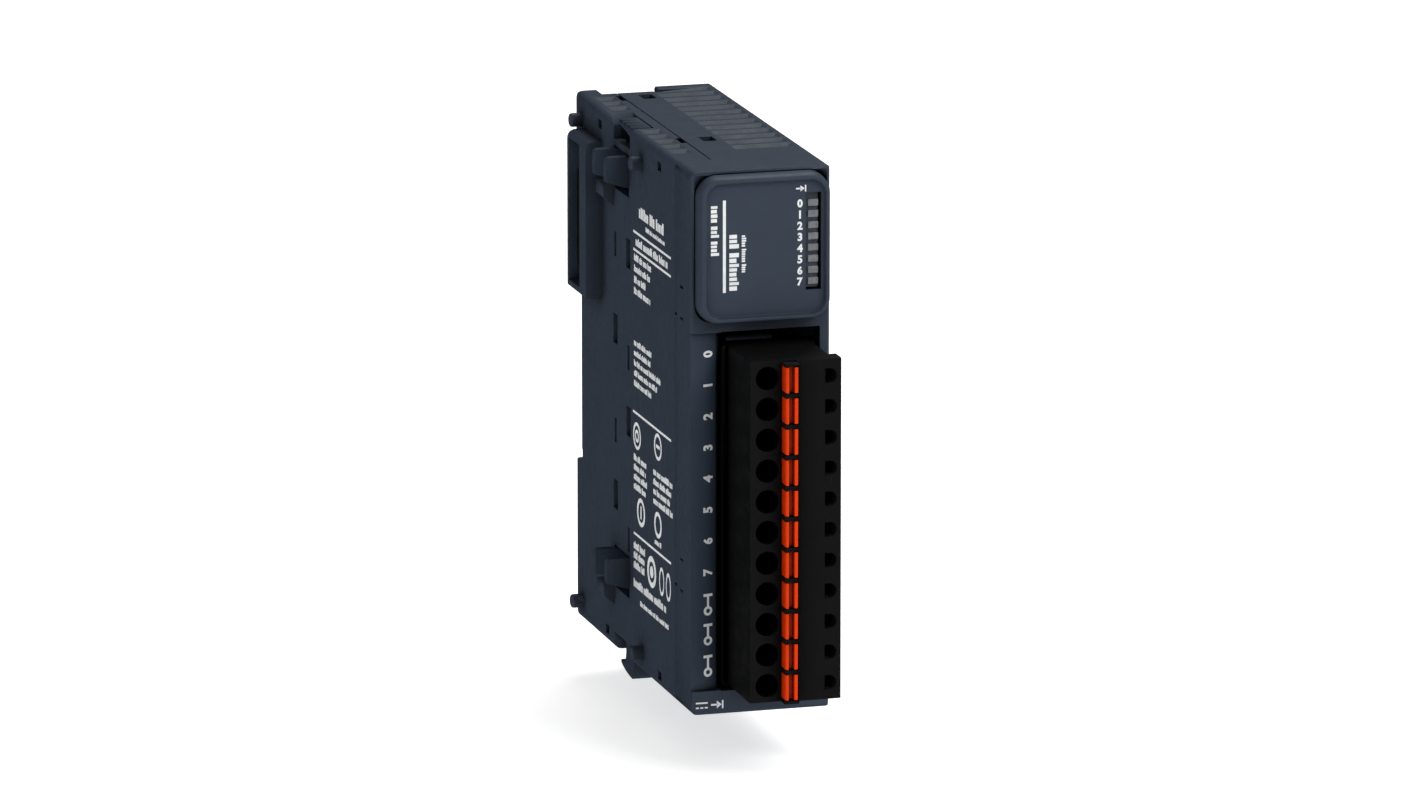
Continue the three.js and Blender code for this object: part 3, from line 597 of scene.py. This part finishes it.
class Sheet:
    """A flat drawing in millimetres, (a, b), that is laid on a surface as thin ink."""

    def __init__(self):
        self.bm = bmesh.new()

    def polygon(self, outline):
        """A filled outline, anticlockwise, with no holes."""
        under = [self.bm.verts.new((a, b, -INK_SINK)) for a, b in outline]
        over = [self.bm.verts.new((a, b, INK_HEIGHT)) for a, b in outline]
        count = len(outline)
        self.bm.faces.new(over)
        self.bm.faces.new(list(reversed(under)))
        for i in range(count):
            j = (i + 1) % count
            self.bm.faces.new((under[i], under[j], over[j], over[i]))

    def bar(self, a0, a1, b0, b1):
        """A filled rectangle."""
        self.polygon([(a0, b0), (a1, b0), (a1, b1), (a0, b1)])

    def ring(self, a, b, outer, inner, stretch=1.0):
        """A ring, or a disc if inner is 0; stretch under 1 makes it an upright ellipse."""
        steps = 30

        def circle(radius):
            turns = [2 * math.pi * i / steps for i in range(steps)]
            return [(a + stretch * radius * math.cos(t), b + radius * math.sin(t)) for t in turns]

        if not inner:
            self.polygon(circle(outer))
            return
        section = ((outer, -INK_SINK), (outer, INK_HEIGHT), (inner, INK_HEIGHT), (inner, -INK_SINK))
        loops = []
        for radius, lift in section:
            loops.append([self.bm.verts.new((*point, lift)) for point in circle(radius)])
        for first, second in zip(loops, loops[1:] + loops[:1]):
            for i in range(steps):
                j = (i + 1) % steps
                self.bm.faces.new((first[i], first[j], second[j], second[i]))

    def arrow(self, middle, shaft, head, stop):
        """An arrow along a that points at a stop bar, each part as (start, end, half its height)."""
        for start, end, half in (shaft, stop):
            self.bar(start, end, middle - half, middle + half)
        start, tip, half = head
        self.polygon([(start, middle - half), (tip, middle), (start, middle + half)])

    def greeked(self, start, end, middle, height, chance):
        """A line of text as plain blocks: word-like groups of low and high blocks, no letter shapes."""
        foot = middle - height / 2
        block_gap, word_gap, least = 0.12 * height, 0.35 * height, 0.4 * height
        a = start
        while a < end - least:
            for _ in range(chance.randint(3, 8)):
                wide = height * chance.uniform(0.3, 0.46)
                if a + wide > end:
                    return
                self.bar(a, a + wide, foot, foot + height * chance.choice((0.74, 0.8, 1.0)))
                a += wide + block_gap
            a += word_gap

    def digit(self, text, a, b, height, turned=False):
        """A bold numeral, centred on a point; turned, it reads upwards."""
        curve = bpy.data.curves.new("digit", "FONT")
        curve.body = text
        # The offset makes the strokes bold; the extrusion only tells the upper face from the lower.
        curve.offset = 0.042
        curve.extrude = 0.5
        curve.resolution_u = 3
        carrier = bpy.data.objects.new("digit", curve)
        mesh = bpy.data.meshes.new_from_object(carrier)
        corners = [v.co for v in mesh.vertices]
        low = [min(c[k] for c in corners) for k in range(3)]
        high = [max(c[k] for c in corners) for k in range(3)]
        size = height / (high[1] - low[1])
        made = {}
        for vert in mesh.vertices:
            u = (vert.co.x - (low[0] + high[0]) / 2) * size
            v = (vert.co.y - (low[1] + high[1]) / 2) * size
            if turned:
                u, v = -v, u
            lift = INK_HEIGHT if vert.co.z > 0 else -INK_SINK
            made[vert.index] = self.bm.verts.new((a + u, b + v, lift))
        for face in mesh.polygons:
            self.bm.faces.new([made[index] for index in face.vertices])
        bmesh.ops.remove_doubles(self.bm, verts=list(made.values()), dist=MERGE / MM)
        bpy.data.objects.remove(carrier)
        bpy.data.curves.remove(curve)

    def slice(self, a0, a1, step):
        """Cuts the drawing across at every step, so that it can follow a curved surface."""
        for i in range(1, round((a1 - a0) / step)):
            parts = [*self.bm.verts, *self.bm.edges, *self.bm.faces]
            cut = Vector((a0 + i * step, 0, 0))
            bmesh.ops.bisect_plane(self.bm, geom=parts, plane_co=cut, plane_no=(1, 0, 0))

    def finish(self, name, place):
        """Lays the drawing down: place(a, b, lift) is where a point of it goes."""
        bmesh.ops.dissolve_degenerate(self.bm, edges=self.bm.edges, dist=MERGE / MM)
        for vert in self.bm.verts:
            vert.co = place(*vert.co)
        bmesh.ops.recalc_face_normals(self.bm, faces=self.bm.faces)
        link(name, mesh_of(self.bm, name), INK, "module")


def panel_print():
    """Channel numbers beside the indicators, an arrow above them, and the plain marks at the left."""
    numbers_x, number_height, number_rise = 17.68, 1.36, 0.05
    sheet = Sheet()
    for channel in range(CHANNELS):
        low, high = housing_box(f"status_led_{channel}")
        sheet.digit(str(channel), numbers_x, (low.z + high.z) / 2 + number_rise, number_height)
    sheet.arrow(86.85, shaft=(17.0, 17.9, 0.13), head=(17.75, 18.45, 0.5), stop=(18.5, 18.72, 0.55))
    rule_left, rule_right, rule_foot, rule_top = 4.77, 5.27, 70.42, 85.6
    sheet.bar(rule_left, rule_right, rule_foot, rule_top)
    sheet.finish("panel_numbers", lambda a, b, lift: at(a, FIELD_Y - lift, b))

    chance = random.Random(4)
    upright = Sheet()
    upright.greeked(76.6, 85.1, middle=3.45, height=1.35, chance=chance)
    upright.greeked(70.7, 80.2, middle=6.65, height=1.6, chance=chance)
    upright.greeked(73.6, 80.2, middle=8.3, height=0.75, chance=chance)
    upright.finish("panel_marks", lambda a, b, lift: at(b, FIELD_Y - lift, a))


STRIP_MIDDLE = 3.08


def strip_depth(x):
    """Depth of the hollow label strip at x: a quadratic curve from its outer to its inner edge."""
    outer, middle, inner = (-0.1, 0.5), (2.9, 0.6), (5.1, 1.8)
    a = outer[0] - 2 * middle[0] + inner[0]
    b = 2 * (middle[0] - outer[0])
    c = outer[0] - x
    t = (-b + math.sqrt(b * b - 4 * a * c)) / (2 * a)
    return outer[1] * (1 - t) ** 2 + 2 * middle[1] * t * (1 - t) + inner[1] * t * t


def common_mark(sheet, z):
    """The mark of a common terminal: a bar across the top of a stem that stands on a ring."""
    stem_half, bar_half = 0.19, 0.8
    ring_middle, ring_outer, ring_inner = -1.3, 0.78, 0.36
    stem_foot, stem_top, bar_foot, bar_top = -0.85, 1.15, 1.1, 1.55
    sheet.bar(STRIP_MIDDLE - stem_half, STRIP_MIDDLE + stem_half, z + stem_foot, z + stem_top)
    sheet.ring(STRIP_MIDDLE, z + ring_middle, ring_outer, ring_inner)
    sheet.bar(STRIP_MIDDLE - bar_half, STRIP_MIDDLE + bar_half, z + bar_foot, z + bar_top)


def strip_print():
    """Channel numbers down the label strip, then three marks for the common terminals."""
    first, pitch, number_height = 59.86, 5.17, 1.7
    slices_reach, slice_step = 1.0, 0.2
    sheet = Sheet()
    for channel in range(CHANNELS):
        sheet.digit(str(channel), STRIP_MIDDLE, first - pitch * channel, number_height, turned=True)
    for z in (18.5, 13.5, 8.25):
        common_mark(sheet, z)
    sheet.slice(STRIP_MIDDLE - slices_reach, STRIP_MIDDLE + slices_reach, slice_step)
    sheet.finish("strip_numbers", lambda a, b, lift: at(a, strip_depth(a) - lift, b))


def supply_print():
    """Direct-current symbol and an arrow on the block under the label strip."""
    left, dash, pitch, thick = 0.75, 0.5, 0.75, 0.25
    line_foot, dashes_foot = 1.95, 1.15
    sheet = Sheet()
    sheet.bar(left, left + 2 * pitch + dash, line_foot, line_foot + thick)
    for i in range(3):
        start = left + pitch * i
        sheet.bar(start, start + dash, dashes_foot, dashes_foot + thick)
    sheet.arrow(1.68, shaft=(3.3, 4.5, 0.15), head=(4.3, 5.1, 0.63), stop=(5.15, 5.4, 0.68))
    sheet.finish("supply_marks", lambda a, b, lift: at(a, -lift, b))


class SideSheet(Sheet):
    """The drawing on the left face. Its marks are placed by y and z; a runs from the rail to the front."""

    # The y where a is 0, where the rules end, and half their height.
    ORIGIN = 45.0
    RULE_END = 12.0
    RULE_HALF = 0.2

    def __init__(self):
        super().__init__()
        self.chance = random.Random(11)

    def line(self, y_start, y_end, z, height):
        """A line of plain blocks."""
        self.greeked(self.ORIGIN - y_start, self.ORIGIN - y_end, z, height, self.chance)

    def rule(self, z, y_start=34.4):
        """A rule across the printed field."""
        start, end = self.ORIGIN - y_start, self.ORIGIN - self.RULE_END
        self.bar(start, end, z - self.RULE_HALF, z + self.RULE_HALF)

    def round_mark(self, y, z, outer, inner, stretch=1.0):
        """A ring or a disc."""
        self.ring(self.ORIGIN - y, z, outer, inner, stretch)

    def dash(self, y, z, half_width, half_height):
        """A short bar in a round mark."""
        a = self.ORIGIN - y
        self.bar(a - half_width, a + half_width, z - half_height, z + half_height)


def side_heading(sheet):
    """Lines and rules at the top, where the maker and the type would stand."""
    sheet.line(31.0, 15.5, z=77.3, height=1.9)
    sheet.line(27.0, 15.5, z=75.2, height=0.8)
    sheet.rule(73.5)
    sheet.line(33.0, 13.8, z=72.0, height=1.35)
    sheet.rule(70.5)


def side_data(sheet):
    """Two blocks of data lines, each down to its own length."""
    for i, y_end in enumerate((23.2, 24.5, 27.0, 24.0)):
        sheet.line(34.0, y_end, z=69.25 - 1.87 * i, height=1.15)
    for i, y_end in enumerate((23.3, 24.0, 18.0, 20.0, 23.0)):
        sheet.line(34.1, y_end, z=54.9 - 1.7 * i, height=1.0)


def side_marks(sheet):
    """Plain rings and lines between two rules, where the approval marks would stand."""
    sheet.rule(43.2, y_start=34.8)
    sheet.round_mark(32.4, 39.4, outer=2.3, inner=1.75)
    sheet.round_mark(32.4, 39.4, outer=1.1, inner=0.6)
    sheet.round_mark(19.8, 40.4, outer=2.25, inner=1.7)
    sheet.dash(19.8, 40.4, half_width=1.1, half_height=0.3)
    for i in range(4):
        sheet.line(34.3, 26.4 + 0.5 * (i % 2), z=35.6 - 1.62 * i, height=1.1)
        sheet.line(22.5, 11.0 + 0.8 * (i % 3), z=35.8 - 1.62 * i, height=1.1)
    sheet.round_mark(30.0, 27.0, outer=2.4, inner=1.7)
    sheet.dash(30.0, 27.0, half_width=0.3, half_height=1.1)
    sheet.round_mark(19.8, 27.3, outer=2.2, inner=1.5)
    sheet.line(21.7, 17.4, z=24.2, height=0.9)
    sheet.rule(22.67)


def side_footing(sheet):
    """Short lines, a disc in a ring and two ovals at the bottom, over two last lines."""
    for i in range(3):
        sheet.line(34.45, 27.6, z=20.7 - 1.65 * i, height=1.25)
    sheet.round_mark(23.6, 18.5, outer=2.65, inner=1.75)
    sheet.round_mark(23.6, 18.5, outer=1.0, inner=0.0)
    for y in (17.6, 13.6):
        sheet.round_mark(y, 18.3, outer=2.4, inner=1.8, stretch=0.6)
    sheet.line(34.5, 14.6, z=14.3, height=1.4)
    sheet.line(30.6, 13.3, z=11.55, height=0.85)


def side_print():
    """Plain blocks, rules and rings on the left face, where the data would be printed."""
    sheet = SideSheet()
    side_heading(sheet)
    side_data(sheet)
    side_marks(sheet)
    side_footing(sheet)
    sheet.finish("side_marks", lambda a, b, lift: at(-lift, sheet.ORIGIN - a, b))


panel_print()
strip_print()
supply_print()
side_print()
